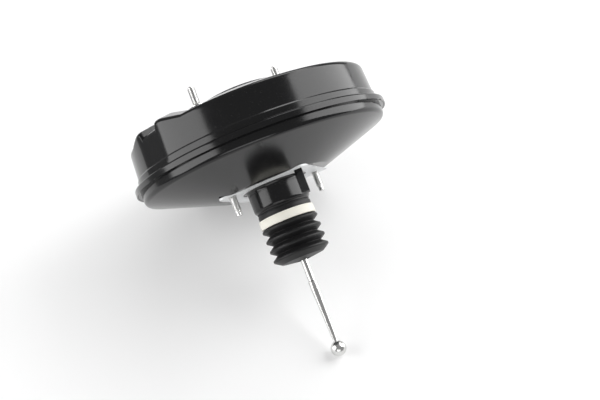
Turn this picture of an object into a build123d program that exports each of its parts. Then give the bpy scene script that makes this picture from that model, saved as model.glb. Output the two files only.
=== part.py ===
from build123d import *
from math import cos, radians, sin
import os

# Vacuum brake booster. Sizes are in millimetres. The axis is Y: +Y points forward to the master
# cylinder, -Y back to the pedal. The origin is the centre of the face that meets the firewall,
# and the two through bolts stand on the X axis. A station is a place along the axis.

# Clearances
touch_gap = 0.1
running_gap = 0.07
free_gap = 0.3

# Rear shell
sheet = 1.5
spigot_space = 5.2
neck_step = 3.3
neck_end = -21.8
neck_root_round = 5.0
spigot_length = 16.2
flat_edge = 0.5
rear_wall_radius = 129.3
rear_crease_station = 26.7
rear_wall_height = 10.5
rim_width = 4.9

# Front shell
lip_fold = 1.6
flange_width = 7.5
wall_draft = 1.5
bead_step = 1.3
first_bead_height = 8.3
second_bead_height = 1.7
wall_height = 38.6
shoulder_round = 5.0
plateau_radius = 43.0
front_rise = 20.9
plateau_round = 4.0
front_bore_radius = 21.0
front_bore_depth = 8.0
front_bore_round = 1.0

# Raised lobes beside the channel in the front shell's wall; the angle runs from +X towards +Z
lobe_angle = 171.0
lobe_height = 6.5
near_lobe_reach = 60.0
far_lobe_reach = 55.0
lobe_crest = 8.0
lobe_blend = 22.0
channel_half_width = 13.0
channel_depth = 6.0

# Firewall plate and the key beside the neck
plate_margin = 16.88
plate_thickness = 2.0
plate_hole_gap = 0.7
stud_corner_round = 5.0
free_corner_round = 14.0
key_angle = 32.3
key_width = 7.5
key_inset = 0.5
key_reach = 17.5
key_setback = 1.3
notch_reach = 46.0

# Through bolts
bolt_spacing = 102.0
thread_radius = 4.0
pilot_radius = 4.5
shank_radius = 5.0
shoulder_radius = 6.5
shoulder_height = 2.0
rear_stud_length = 20.7
front_stud_length = 19.6
dog_point_radius = 2.7
dog_point_length = 4.0
seal_height = 1.4
bolt_pad_depth = 2.2
bolt_pad_radius = 9.0

# Reinforcement plate and vacuum port
reinforcement_thickness = 2.0
reinforcement_radius = 40.0
port_angle = 300.0
port_distance = 86.0
port_hole_radius = 9.0
port_bore_radius = 7.5
port_pad_radius = 14.5
port_pad_depth = 8.2
grommet_height = 4.0

# Neck bush, seal and retainer
bush_length = 5.0
neck_seal_length = 8.0
retainer_length = 2.0

# Valve body
tube_wall = 3.5
tube_setback = 4.7
tube_lip_step = 2.5
tube_lip_thickness = 1.1
hub_step = 7.0
hub_neck_step = 4.0
hub_lip_step = 3.0
hub_gap = 1.7
hub_lip_thickness = 1.6
hub_front = 36.0
boss_radius = 27.0
boss_depth = 20.0
disc_bore_radius = 13.0
disc_bore_floor = 30.0
stem_bore_radius = 7.0
head_clearance = 1.2
chamber_front = 1.2
seat_station = -9.2
seat_thickness = 2.0
seat_root = -6.5
passage_radius = 1.0
passage_edge = 0.15
passage_count = 4

# Diaphragm and its support plate
support_thickness = 1.2
web_gap = 6.5
support_flat_step = 8.0
rubber = 1.3
roll_width = 8.7
roll_height = 7.2
roll_rise = 9.0
roll_space = 18.3
bolt_passage_radius = 9.0

# Reaction disc and output rod
reaction_disc_height = 5.8
output_base_height = 5.0
output_rod_radius = 6.0
output_rod_setback = 13.2
retainer_thickness = 1.0

# Stop key that holds the plunger in the valve body
stop_key_thickness = 2.0
stop_key_half_width = 7.0
stop_key_gap = 4.5
stop_key_lift = 0.4

# Plunger and input rod
plunger_head_radius = 11.0
plunger_head_reach = 0.8
plunger_head_gap = 0.7
plunger_groove_radius = 4.6
plunger_travel = 1.5
pivot_station = -2.0
pivot_ball_radius = 5.0
pivot_neck_radius = 3.0
socket_mouth_radius = 4.4
ball_radius = 8.0
ball_station = -179.0
rod_slim_radius = 3.75
rod_thick_radius = 4.5
rod_tip_radius = 2.5
rod_step_station = -105.7
collar_radius = 6.0
rod_spring_space = 21.6
collar_height = 2.4
washer_gap = 1.8
washer_thickness = 1.5

# Control valve and air filter
valve_face_thickness = 2.3
valve_hole_radius = 7.5
valve_sleeve_gap = 1.5
valve_sleeve_length = 15.7
valve_bead_length = 4.0
filter_hole_radius = 7.2
filter_length = 22.3

# Boot and its felt ring
cuff_step = 2.9
cuff_length = 9.8
felt_step = 1.7
felt_thickness = 2.0
felt_length = 9.1
fold_step = 4.2
fold_depth = 4.6
fold_pitch = 10.7
fold_count = 4
fold_start = 2.2
boot_wall = 1.5
boot_end_reach = 7.9
boot_end_step = 2.0
boot_hole_radius = 7.4

# Springs
return_spring_gap = 4.5
return_wire_radius = 1.9
return_turns = 5.5
valve_spring_gap = 4.1
valve_wire_radius = 0.6
valve_turns = 5
rod_spring_gap = 1.7
rod_wire_radius = 0.8
rod_turns = 5

# Sizes that follow from the ones above
bolt_x = bolt_spacing / 2
plate_side = (bolt_spacing + 2 * plate_margin) / 2**0.5
inner_face = plate_thickness + sheet
chamber_radius = plunger_head_radius + head_clearance
tube_bore_radius = chamber_radius + seat_thickness + 2 * (passage_radius + passage_edge)
tube_lip_radius = tube_bore_radius - tube_lip_step
tube_radius = tube_bore_radius + tube_wall
spigot_radius = tube_radius + spigot_space
neck_radius = spigot_radius + neck_step
spigot_end = neck_end - spigot_length
plate_hole_radius = neck_radius + neck_root_round + plate_hole_gap
key_offset = neck_radius - key_inset
key_end = neck_end + key_setback
rear_flat_radius = bolt_x + shoulder_radius + flat_edge
rim_radius = rear_wall_radius + rim_width
rim_station = rear_crease_station + rear_wall_height
clamp_station = rim_station + sheet + touch_gap
flange_radius = rim_radius + free_gap + sheet
flange_station = clamp_station + rubber + touch_gap + sheet
lip_station = rim_station - lip_fold
shoulder_station = flange_station + wall_height
plateau_station = shoulder_station + front_rise
wall_foot_radius = flange_radius - flange_width
wall_top_radius = wall_foot_radius - wall_draft
first_bead_station = flange_station + first_bead_height
second_bead_station = flange_station + second_bead_height
lobe_station = shoulder_station + lobe_height
bolt_pad_station = plateau_station - bolt_pad_depth
port_pad_station = plateau_station - port_pad_depth
support_station = inner_face + web_gap + rubber + touch_gap
support_flat_radius = rear_flat_radius + support_flat_step
roll_front = clamp_station + roll_height
support_rim_radius = rear_wall_radius - roll_space
support_rim_front = roll_front - roll_rise
diaphragm_rim_radius = support_rim_radius + touch_gap + rubber
roll_radius = diaphragm_rim_radius + roll_width - 2 * rubber
cone_slope = (rear_crease_station - plate_thickness) / (rear_wall_radius - rear_flat_radius)
reinforcement_front = bolt_pad_station - sheet - touch_gap
reinforcement_rear = reinforcement_front - reinforcement_thickness
hub_lip_rear = inner_face + hub_gap
hub_lip_front = hub_lip_rear + hub_lip_thickness
hub_neck_radius = tube_radius + hub_neck_step
hub_lip_radius = hub_neck_radius + hub_lip_step
hub_radius = boss_radius + hub_step
boss_front = disc_bore_floor + boss_depth
output_rod_front = plateau_station - output_rod_setback
return_spring_radius = boss_radius + return_spring_gap
support_front = support_station + support_thickness
web_station = support_station - touch_gap - rubber
stop_key_reach = bolt_x - shoulder_radius - stop_key_gap
plunger_head_rear = seat_station - plunger_head_reach
plunger_head_front = chamber_front - plunger_travel - plunger_head_gap
plunger_front = disc_bore_floor - plunger_travel - touch_gap
valve_face_station = plunger_head_rear - free_gap
valve_back = valve_face_station - valve_face_thickness
valve_bead_front = valve_face_station - valve_sleeve_length
valve_bead_rear = valve_bead_front - valve_bead_length
valve_sleeve_radius = tube_bore_radius - valve_sleeve_gap
valve_spring_radius = valve_sleeve_radius - valve_spring_gap
collar_station = valve_bead_rear - rod_spring_space
washer_radius = tube_lip_radius - washer_gap
washer_front = collar_station + touch_gap + washer_thickness
rod_spring_radius = washer_radius - rod_spring_gap
cuff_radius = spigot_radius + cuff_step
cuff_end = neck_end - cuff_length
felt_inner_radius = spigot_radius + felt_step
felt_radius = felt_inner_radius + felt_thickness
felt_front = cuff_end - touch_gap
felt_rear = felt_front - felt_length
fold_peak_radius = spigot_radius + fold_step
fold_valley_radius = fold_peak_radius - fold_depth
first_fold_station = felt_rear - fold_start
boot_end = first_fold_station - (fold_count - 1) * fold_pitch - boot_end_reach
boot_end_radius = tube_lip_radius + boot_end_step
tube_rear = boot_end + tube_setback
filter_front = tube_rear + filter_length


def half_section(points, radii=0):
    """A closed half section in the XY plane; each point is a radius and a station."""
    with BuildSketch() as section:
        with BuildLine():
            FilletPolyline(*points, radius=radii, close=True)
        make_face()
    return section.sketch


def ring_section(inner, outer, rear, front):
    """A rectangular half section between two radii and two stations."""
    return half_section([(inner, rear), (outer, rear), (outer, front), (inner, front)])


def pressed_section(points, radii, thickness, side):
    """The half section of a sheet that follows an open path, thickened to one side of it."""
    with BuildSketch() as section:
        with BuildLine():
            FilletPolyline(*points, radius=radii)
            offset(amount=thickness, side=side)
        make_face()
    return section.sketch


def axial_plane(angle, distance, station):
    """A plane square to the axis, whose origin lies at an angle and a distance from it."""
    place = (distance * cos(radians(angle)), station, distance * sin(radians(angle)))
    return Plane(origin=place, x_dir=(cos(radians(angle)), 0, sin(radians(angle))), z_dir=(0, 1, 0))


def radial_plane(angle, distance):
    """A plane square to a radius: its Y is the axis and its normal points out."""
    out = Vector(cos(radians(angle)), 0, sin(radians(angle)))
    return Plane(origin=out * distance, x_dir=(out.Z, 0, -out.X), z_dir=out)


def bolt_plane(x):
    """The plane of a bolt's half section, with the bolt's own axis as its Y."""
    return Plane(origin=(x, 0, 0), x_dir=(1, 0, 0), z_dir=(0, 0, 1))


def coil(radius, wire, turns, rear, front):
    """A coil spring round the axis that fills the space between two stations."""
    height = front - rear - 2 * wire
    with BuildPart() as spring:
        with BuildLine():
            path = Helix(
                pitch=height / turns,
                height=height,
                radius=radius,
                center=(0, rear + wire, 0),
                direction=(0, 1, 0),
            )
        with BuildSketch(Plane(origin=path @ 0, z_dir=path % 0)):
            Circle(wire)
        sweep(is_frenet=True)
    return spring.part


# Front shell. Its pressed form is made as an outside and as an inside one sheet smaller.
def front_outline(inset, foot):
    """Half section of the front shell's filled form, inset all round and open at its foot."""
    step_radius = wall_foot_radius + bead_step
    outline = [
        (-inset, foot),
        (flange_radius, foot),
        (flange_radius, flange_station),
        (step_radius + bead_step + 0.3, flange_station + 0.6),
        (step_radius, second_bead_station),
        (step_radius, first_bead_station - 0.7),
        (wall_foot_radius, first_bead_station + 0.7),
        (wall_top_radius, shoulder_station),
        (plateau_radius, plateau_station),
        (-inset, plateau_station),
    ]
    rounds = [0, 0, 1.3, 0.5, 0.5, 0.5, 0.5, shoulder_round, plateau_round, 0]
    if inset == 0:
        return half_section(outline, rounds)
    with BuildSketch() as section:
        add(half_section(outline, [0, 0, 0, 0, 0, 0, 0, shoulder_round, plateau_round, 0]))
        offset(amount=-inset)
    return section.sketch


def lobe_outline(side, reach, inset):
    """Side view of one raised lobe, seen square to the wall and inset all round."""
    edge = side * (channel_half_width + 1.0)
    foot = shoulder_station - 12
    base = shoulder_station - 1.0
    outline = [
        (edge, foot),
        (edge + side * 1.5, lobe_station),
        (edge + side * lobe_crest, lobe_station),
        (side * (reach - 8.0), base),
        (side * reach, base),
        (side * reach, foot),
    ]
    with BuildSketch() as section:
        add(half_section(outline, [0, 1.5, lobe_blend, lobe_blend, 0, 0]))
        if inset:
            offset(amount=-inset)
    return section.sketch


def front_form(inset, foot):
    """The front shell's filled form with its lobes, pads and channel, inset by a sheet or not."""
    with BuildPart() as lobes:
        with BuildSketch(radial_plane(lobe_angle, plateau_radius)):
            add(lobe_outline(1, near_lobe_reach, inset))
            add(lobe_outline(-1, far_lobe_reach, inset))
        extrude(amount=flange_radius - plateau_radius)
        with BuildSketch():
            add(ring_section(0, wall_top_radius - inset, 0, plateau_station))
        revolve(axis=Axis.Y, mode=Mode.INTERSECT)
    with BuildPart() as form:
        with BuildSketch():
            add(front_outline(inset, foot))
        revolve(axis=Axis.Y)
        add(lobes.part)
        pads = [
            (0, bolt_x, bolt_pad_radius, bolt_pad_station),
            (180, bolt_x, bolt_pad_radius, bolt_pad_station),
            (port_angle, port_distance, port_pad_radius, port_pad_station),
        ]
        for angle, distance, radius, station in pads:
            with BuildSketch(axial_plane(angle, distance, station - inset)):
                Circle(radius + inset)
            extrude(amount=plateau_station - station + inset, mode=Mode.SUBTRACT)
            with BuildSketch(axial_plane(angle, distance, station - inset)):
                Circle(radius - inset)
            extrude(amount=-sheet * 5)
        sagitta_radius = (channel_half_width**2 + channel_depth**2) / (2 * channel_depth)
        channel_centre = wall_foot_radius - channel_depth + sagitta_radius
        with BuildSketch(axial_plane(lobe_angle, channel_centre, flange_station + 0.6 - inset)):
            Circle(sagitta_radius + inset)
        extrude(amount=plateau_station, mode=Mode.SUBTRACT)
    return form.part


with BuildPart() as front_shell:
    add(front_form(0, lip_station))
    add(front_form(sheet, lip_station - 4 * sheet), mode=Mode.SUBTRACT)
    with BuildSketch(Plane.XZ.offset(-plateau_station)):
        Circle(front_bore_radius + sheet)
    extrude(amount=front_bore_depth)
    with BuildSketch(Plane.XZ.offset(-plateau_station)):
        Circle(front_bore_radius)
    extrude(amount=2 * front_bore_depth, mode=Mode.SUBTRACT)
    bore_mouth = front_shell.edges().filter_by(GeomType.CIRCLE).filter_by(
        lambda edge: abs(edge.radius - front_bore_radius) < 0.01)
    fillet(bore_mouth.sort_by(Axis.Y)[-1], front_bore_round)
    for x in (-bolt_x, bolt_x):
        with BuildSketch(axial_plane(0, x, bolt_pad_station - 2 * sheet)):
            Circle(pilot_radius + touch_gap)
        extrude(amount=4 * sheet, mode=Mode.SUBTRACT)
    with BuildSketch(axial_plane(port_angle, port_distance, port_pad_station - 2 * sheet)):
        Circle(port_hole_radius)
    extrude(amount=4 * sheet, mode=Mode.SUBTRACT)

# Rear shell: neck, flat for the firewall plate, shallow cone, short wall and rim
with BuildPart() as rear_shell:
    with BuildSketch():
        add(pressed_section(
            [
                (spigot_radius, spigot_end),
                (spigot_radius, neck_end - 1.6),
                (neck_radius, neck_end),
                (neck_radius, plate_thickness),
                (rear_flat_radius, plate_thickness),
                (rear_wall_radius, rear_crease_station),
                (rear_wall_radius, rim_station),
                (rim_radius, rim_station),
            ],
            [1.0, 2.0, neck_root_round, 8.0, 3.2, 1.2],
            sheet,
            Side.LEFT,
        ))
    revolve(axis=Axis.Y)
    for x in (-bolt_x, bolt_x):
        with BuildSketch(axial_plane(0, x, 0)):
            Circle(pilot_radius + touch_gap)
        extrude(amount=4 * sheet, mode=Mode.SUBTRACT)

# Firewall plate: a square plate whose stud corners are tighter than its free ones
with BuildPart() as firewall_plate:
    with BuildSketch(Plane.XZ):
        Rectangle(plate_side, plate_side, rotation=45)
    extrude(amount=-plate_thickness)
    corners = firewall_plate.edges().filter_by(Axis.Y).sort_by(Axis.X)
    fillet([corners[0], corners[-1]], stud_corner_round)
    free_corners = firewall_plate.edges().filter_by(Axis.Y).sort_by(Axis.Z)
    fillet([free_corners[0], free_corners[-1]], free_corner_round)
    with BuildSketch(axial_plane(key_angle, 0, 0)):
        Circle(plate_hole_radius)
        with Locations((key_offset, -notch_reach / 2)):
            Rectangle(key_width + 2 * free_gap, notch_reach)
    extrude(amount=plate_thickness, mode=Mode.SUBTRACT)
    with BuildSketch(axial_plane(0, 0, 0)):
        with Locations((-bolt_x, 0), (bolt_x, 0)):
            Circle(pilot_radius + touch_gap)
    extrude(amount=plate_thickness, mode=Mode.SUBTRACT)

# Locating key: a block that hugs the neck and stands in the plate's notch
with BuildPart() as locating_key:
    with BuildSketch(axial_plane(key_angle, 0, plate_thickness - touch_gap)):
        with Locations((key_offset, -key_reach / 2)):
            Rectangle(key_width, key_reach)
        Circle(neck_radius + touch_gap, mode=Mode.SUBTRACT)
    extrude(amount=key_end - plate_thickness + touch_gap)
    with BuildSketch():
        add(half_section([
            (0, plate_thickness),
            (neck_radius + neck_root_round + touch_gap, plate_thickness),
            (neck_radius + touch_gap, plate_thickness - neck_root_round),
            (0, plate_thickness - neck_root_round),
        ]))
    revolve(axis=Axis.Y, mode=Mode.SUBTRACT)
    fillet(locating_key.faces().sort_by(Axis.Y)[0].edges(), 0.8)

pieces = {
    "front_shell": front_shell,
    "rear_shell": rear_shell,
    "firewall_plate": firewall_plate,
    "locating_key": locating_key,
}

# Through bolts, with a dog point at the pedal end, and the seal and collar at each end
for name, x in (("left", -bolt_x), ("right", bolt_x)):
    bolt_axis = Axis((x, 0, 0), (0, 1, 0))
    rear_shoulder = inner_face + seal_height + 2 * touch_gap
    front_shoulder = reinforcement_rear - seal_height - 2 * touch_gap
    stud_tip = plateau_station + front_stud_length
    with BuildPart() as bolt:
        with BuildSketch(bolt_plane(x)):
            add(half_section(
                [
                    (0, -rear_stud_length),
                    (dog_point_radius, -rear_stud_length),
                    (dog_point_radius, -rear_stud_length + dog_point_length),
                    (thread_radius, -rear_stud_length + dog_point_length + 1.2),
                    (thread_radius, 0),
                    (pilot_radius, 0),
                    (pilot_radius, rear_shoulder),
                    (shoulder_radius, rear_shoulder),
                    (shoulder_radius, rear_shoulder + shoulder_height),
                    (shank_radius, rear_shoulder + shoulder_height),
                    (shank_radius, front_shoulder - shoulder_height),
                    (shoulder_radius, front_shoulder - shoulder_height),
                    (shoulder_radius, front_shoulder),
                    (pilot_radius, front_shoulder),
                    (pilot_radius, plateau_station),
                    (thread_radius, plateau_station),
                    (thread_radius, stud_tip - 1.0),
                    (thread_radius - 1.0, stud_tip),
                    (0, stud_tip),
                ],
                [0, 0.6] + [0] * 17,
            ))
        revolve(axis=bolt_axis)
    pieces["through_bolt_" + name] = bolt
    for end, rear in (("rear", inner_face + touch_gap), ("front", front_shoulder + touch_gap)):
        with BuildPart() as bolt_seal:
            with BuildSketch(bolt_plane(x)):
                add(ring_section(pilot_radius + touch_gap, shoulder_radius, rear, rear + seal_height))
            revolve(axis=bolt_axis)
            fillet(bolt_seal.edges().filter_by(GeomType.CIRCLE).sort_by(SortBy.RADIUS)[-2:], 0.5)
        pieces["bolt_seal_" + end + "_" + name] = bolt_seal
    with BuildPart() as stud_collar:
        with BuildSketch(bolt_plane(x)):
            add(ring_section(
                pilot_radius + touch_gap, shoulder_radius, bolt_pad_station + touch_gap / 2, plateau_station))
        revolve(axis=bolt_axis)
        chamfer(stud_collar.faces().sort_by(Axis.Y)[-1].outer_wire().edges(), 0.5)
    pieces["stud_collar_" + name] = stud_collar

# Reinforcement plate behind the front plateau
with BuildPart() as reinforcement_plate:
    with BuildSketch(axial_plane(0, 0, reinforcement_rear)):
        Circle(reinforcement_radius)
        SlotCenterToCenter(bolt_spacing, 2 * (bolt_pad_radius - sheet - touch_gap))
        Circle(front_bore_radius + sheet + 0.5, mode=Mode.SUBTRACT)
        with Locations((-bolt_x, 0), (bolt_x, 0)):
            Circle(pilot_radius + touch_gap, mode=Mode.SUBTRACT)
    extrude(amount=reinforcement_thickness)
pieces["reinforcement_plate"] = reinforcement_plate

# Rubber grommet of the vacuum port, grooved for the sheet
with BuildPart() as vacuum_grommet:
    port_plane = Plane(origin=axial_plane(port_angle, port_distance, 0).origin, z_dir=(0, 0, 1))
    with BuildSketch(port_plane):
        add(half_section(
            [
                (port_bore_radius, port_pad_station - sheet - 3.0),
                (port_hole_radius + 1.2, port_pad_station - sheet - 3.0),
                (port_hole_radius + 2.0, port_pad_station - sheet - touch_gap),
                (port_hole_radius - touch_gap, port_pad_station - sheet - touch_gap),
                (port_hole_radius - touch_gap, port_pad_station + touch_gap),
                (port_hole_radius + 4.0, port_pad_station + touch_gap),
                (port_hole_radius + 3.0, port_pad_station + grommet_height),
                (port_bore_radius, port_pad_station + grommet_height),
            ],
            [0, 0, 0, 0, 0, 0.8, 0.8, 0],
        ))
    revolve(axis=Axis(port_plane.origin, (0, 1, 0)))
pieces["vacuum_grommet"] = vacuum_grommet

# Guide bush, lip seal and retaining ring inside the neck
neck_bore = neck_radius - sheet
bush_rear = neck_end + sheet
seal_rear = bush_rear + bush_length + touch_gap
retainer_rear = seal_rear + neck_seal_length + touch_gap
with BuildPart() as guide_bush:
    with BuildSketch():
        add(ring_section(
            tube_radius + running_gap, neck_bore - touch_gap, bush_rear, bush_rear + bush_length))
    revolve(axis=Axis.Y)
pieces["guide_bush"] = guide_bush
with BuildPart() as neck_seal:
    with BuildSketch():
        add(half_section([
            (tube_radius + 3.0, seal_rear),
            (neck_bore - touch_gap, seal_rear),
            (neck_bore - touch_gap, seal_rear + neck_seal_length),
            (neck_bore - 2.5, seal_rear + neck_seal_length),
            (neck_bore - 3.0, seal_rear + 3.0),
            (tube_radius + 2.2, seal_rear + 3.0),
            (tube_radius + 1.2, seal_rear + neck_seal_length - 1.5),
            (tube_radius + free_gap, seal_rear + neck_seal_length - 1.5),
            (tube_radius + free_gap, seal_rear + neck_seal_length - 3.0),
        ]))
    revolve(axis=Axis.Y)
pieces["neck_seal"] = neck_seal
with BuildPart() as seal_retainer:
    with BuildSketch():
        add(ring_section(
            tube_radius + 1.5, neck_bore - touch_gap, retainer_rear, retainer_rear + retainer_length))
    revolve(axis=Axis.Y)
pieces["seal_retainer"] = seal_retainer

# Felt ring and boot
with BuildPart() as felt_ring:
    with BuildSketch():
        add(half_section(
            [
                (felt_inner_radius, felt_rear),
                (felt_radius, felt_rear),
                (felt_radius, felt_front),
                (felt_inner_radius, felt_front),
            ],
            [0, 0.5, 0.5, 0],
        ))
    revolve(axis=Axis.Y)
pieces["felt_ring"] = felt_ring

seat_radius = felt_inner_radius - touch_gap
fold_path = [(0, cuff_end), (seat_radius, cuff_end), (seat_radius, felt_rear)]
fold_rounds = [0, 0, 0.8]
for fold in range(fold_count):
    peak_station = first_fold_station - fold * fold_pitch
    fold_path.append((fold_peak_radius, peak_station))
    fold_rounds.append(1.9)
    if fold < fold_count - 1:
        fold_path.append((fold_valley_radius, peak_station - fold_pitch / 2))
        fold_rounds.append(0.6)
fold_path += [(boot_end_radius, boot_end), (0, boot_end)]
fold_rounds += [3.0, 0]
with BuildPart() as boot:
    with BuildSketch() as boot_section:
        add(half_section(fold_path, fold_rounds))
        offset(amount=-boot_wall, mode=Mode.SUBTRACT)
        add(ring_section(0, seat_radius - boot_wall, felt_rear, cuff_end), mode=Mode.SUBTRACT)
        add(ring_section(0, boot_hole_radius, 2 * boot_end, cuff_end), mode=Mode.SUBTRACT)
        add(half_section([
            (spigot_radius + touch_gap, felt_rear + 1.0),
            (seat_radius, felt_rear + 1.0),
            (seat_radius, cuff_end),
            (cuff_radius, cuff_end),
            (cuff_radius, cuff_end + 4.7),
            (cuff_radius - 1.1, cuff_end + 5.0),
            (cuff_radius - 1.1, cuff_end + 5.9),
            (cuff_radius - 0.2, cuff_end + 6.2),
            (cuff_radius - 0.2, neck_end - 1.0),
            (spigot_radius + touch_gap, neck_end - 2.2),
        ]))
    revolve(axis=Axis.Y)
pieces["boot"] = boot

# Valve body: tube, hub with the groove for the diaphragm, and boss for the reaction disc
with BuildPart() as valve_body:
    with BuildSketch():
        add(half_section([
            (tube_radius, tube_rear),
            (tube_radius, hub_lip_rear),
            (hub_lip_radius, hub_lip_rear),
            (hub_lip_radius, hub_lip_front),
            (hub_neck_radius, hub_lip_front),
            (hub_neck_radius, support_front + touch_gap),
            (hub_radius, support_front + touch_gap),
            (hub_radius, hub_front),
            (boss_radius, hub_front),
            (boss_radius, boss_front),
            (disc_bore_radius, boss_front),
            (disc_bore_radius, disc_bore_floor),
            (stem_bore_radius, disc_bore_floor),
            (stem_bore_radius, chamber_front),
            (chamber_radius, chamber_front),
            (chamber_radius, seat_station),
            (chamber_radius + seat_thickness, seat_station),
            (chamber_radius + seat_thickness, seat_root),
            (tube_bore_radius, seat_root),
            (tube_bore_radius, tube_rear + tube_lip_thickness),
            (tube_lip_radius, tube_rear + tube_lip_thickness),
            (tube_lip_radius, tube_rear),
        ]))
    revolve(axis=Axis.Y)
    passage_distance = (chamber_radius + seat_thickness + tube_bore_radius) / 2
    with BuildSketch(axial_plane(0, 0, seat_root - 1)):
        with PolarLocations(passage_distance, passage_count, start_angle=45):
            Circle(passage_radius)
    extrude(amount=boss_front - seat_root + 2, mode=Mode.SUBTRACT)
    key_rear = inner_face + stop_key_lift
    with BuildSketch(axial_plane(0, 0, key_rear - 2 * touch_gap)):
        with Locations((stop_key_reach / 2 - stop_key_half_width / 2, 0)):
            Rectangle(stop_key_reach + stop_key_half_width + 1, 2 * (stop_key_half_width + 2 * touch_gap))
    extrude(amount=stop_key_thickness + 4 * touch_gap, mode=Mode.SUBTRACT)
pieces["valve_body"] = valve_body

# Stop key: a fork that straddles the plunger's groove and rests on the rear shell
with BuildPart() as stop_key:
    with BuildSketch(axial_plane(0, 0, key_rear)):
        with Locations((stop_key_reach / 2 - stop_key_half_width / 2, 0)):
            Rectangle(stop_key_reach + stop_key_half_width, 2 * stop_key_half_width)
        Circle(plunger_groove_radius + free_gap, mode=Mode.SUBTRACT)
        with Locations((-stop_key_half_width, 0)):
            Rectangle(
                2 * stop_key_half_width, 2 * (plunger_groove_radius + free_gap), mode=Mode.SUBTRACT)
    extrude(amount=stop_key_thickness)
pieces["stop_key"] = stop_key

# Support plate and diaphragm, which follow the rear shell's cone
support_rim_foot = support_station + (support_rim_radius - support_flat_radius) * cone_slope
with BuildPart() as support_plate:
    with BuildSketch():
        add(pressed_section(
            [
                (hub_neck_radius + touch_gap, support_station),
                (support_flat_radius, support_station),
                (support_rim_radius, support_rim_foot),
                (support_rim_radius, support_rim_front),
            ],
            [10.0, 3.0],
            support_thickness,
            Side.LEFT,
        ))
    revolve(axis=Axis.Y)
    with BuildSketch(axial_plane(0, 0, 0)):
        with Locations((-bolt_x, 0), (bolt_x, 0)):
            Circle(bolt_passage_radius)
    extrude(amount=hub_front, mode=Mode.SUBTRACT)
pieces["support_plate"] = support_plate

with BuildPart() as diaphragm:
    with BuildSketch():
        add(pressed_section(
            [
                (hub_neck_radius + touch_gap, web_station),
                (support_flat_radius, web_station),
                (diaphragm_rim_radius, web_station + (diaphragm_rim_radius - support_flat_radius) * cone_slope),
                (diaphragm_rim_radius, roll_front),
                (roll_radius, roll_front),
                (roll_radius, clamp_station),
                (rim_radius - 0.8, clamp_station),
            ],
            [10.0, 3.5, 2.8, 2.8, 2.8],
            rubber,
            Side.LEFT,
        ))
        add(ring_section(
            hub_neck_radius + touch_gap, hub_lip_radius + 1.5, hub_lip_front + touch_gap, web_station + rubber))
    revolve(axis=Axis.Y)
    with BuildSketch(axial_plane(0, 0, 0)):
        with Locations((-bolt_x, 0), (bolt_x, 0)):
            Circle(bolt_passage_radius)
    extrude(amount=hub_front, mode=Mode.SUBTRACT)
pieces["diaphragm"] = diaphragm

# Sliding seals that let the power piston run along the bolts
for name, x in (("left", -bolt_x), ("right", bolt_x)):
    with BuildPart() as slide_seal:
        with BuildSketch(bolt_plane(x)):
            add(half_section([
                (shank_radius + free_gap, web_station - 1.7),
                (bolt_passage_radius + 2.5, web_station - 1.7),
                (bolt_passage_radius + 2.5, web_station - touch_gap),
                (bolt_passage_radius - touch_gap, web_station - touch_gap),
                (bolt_passage_radius - touch_gap, support_front + touch_gap),
                (bolt_passage_radius + 2.0, support_front + touch_gap),
                (bolt_passage_radius + 1.0, support_front + 1.6),
                (shank_radius + 2.0, support_front + 4.0),
                (shank_radius + free_gap, support_front + 4.0),
            ]))
        revolve(axis=Axis((x, 0, 0), (0, 1, 0)))
    pieces["slide_seal_" + name] = slide_seal

# Reaction disc, output rod and the cap that holds them under the return spring
disc_rear = disc_bore_floor + touch_gap
base_rear = disc_rear + reaction_disc_height + touch_gap
with BuildPart() as reaction_disc:
    with BuildSketch(axial_plane(0, 0, disc_rear)):
        Circle(disc_bore_radius - touch_gap)
    extrude(amount=reaction_disc_height)
pieces["reaction_disc"] = reaction_disc
with BuildPart() as output_rod:
    with BuildSketch():
        add(half_section(
            [
                (0, base_rear),
                (disc_bore_radius - touch_gap, base_rear),
                (disc_bore_radius - touch_gap, base_rear + output_base_height),
                (output_rod_radius, base_rear + output_base_height + 1.5),
                (output_rod_radius, output_rod_front),
                (0, output_rod_front),
            ],
            [0, 0.5, 0.5, 1.0, 4.0, 0],
        ))
    revolve(axis=Axis.Y)
pieces["output_rod"] = output_rod
cap_radius = boss_radius + touch_gap
cap_flange_front = hub_front + touch_gap + retainer_thickness
with BuildPart() as output_rod_cap:
    with BuildSketch():
        add(half_section([
            (cap_radius, hub_front + touch_gap),
            (hub_radius - 0.5, hub_front + touch_gap),
            (hub_radius - 0.5, cap_flange_front),
            (cap_radius + retainer_thickness, cap_flange_front),
            (cap_radius + retainer_thickness, boss_front + touch_gap + retainer_thickness),
            (output_rod_radius + 0.5, boss_front + touch_gap + retainer_thickness),
            (output_rod_radius + 0.5, boss_front + touch_gap),
            (cap_radius, boss_front + touch_gap),
        ]))
    revolve(axis=Axis.Y)
    with BuildSketch(axial_plane(0, 0, boss_front)):
        with PolarLocations(passage_distance, passage_count, start_angle=45):
            Circle(3 * passage_radius)
    extrude(amount=3 * retainer_thickness, mode=Mode.SUBTRACT)
pieces["output_rod_cap"] = output_rod_cap

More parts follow.
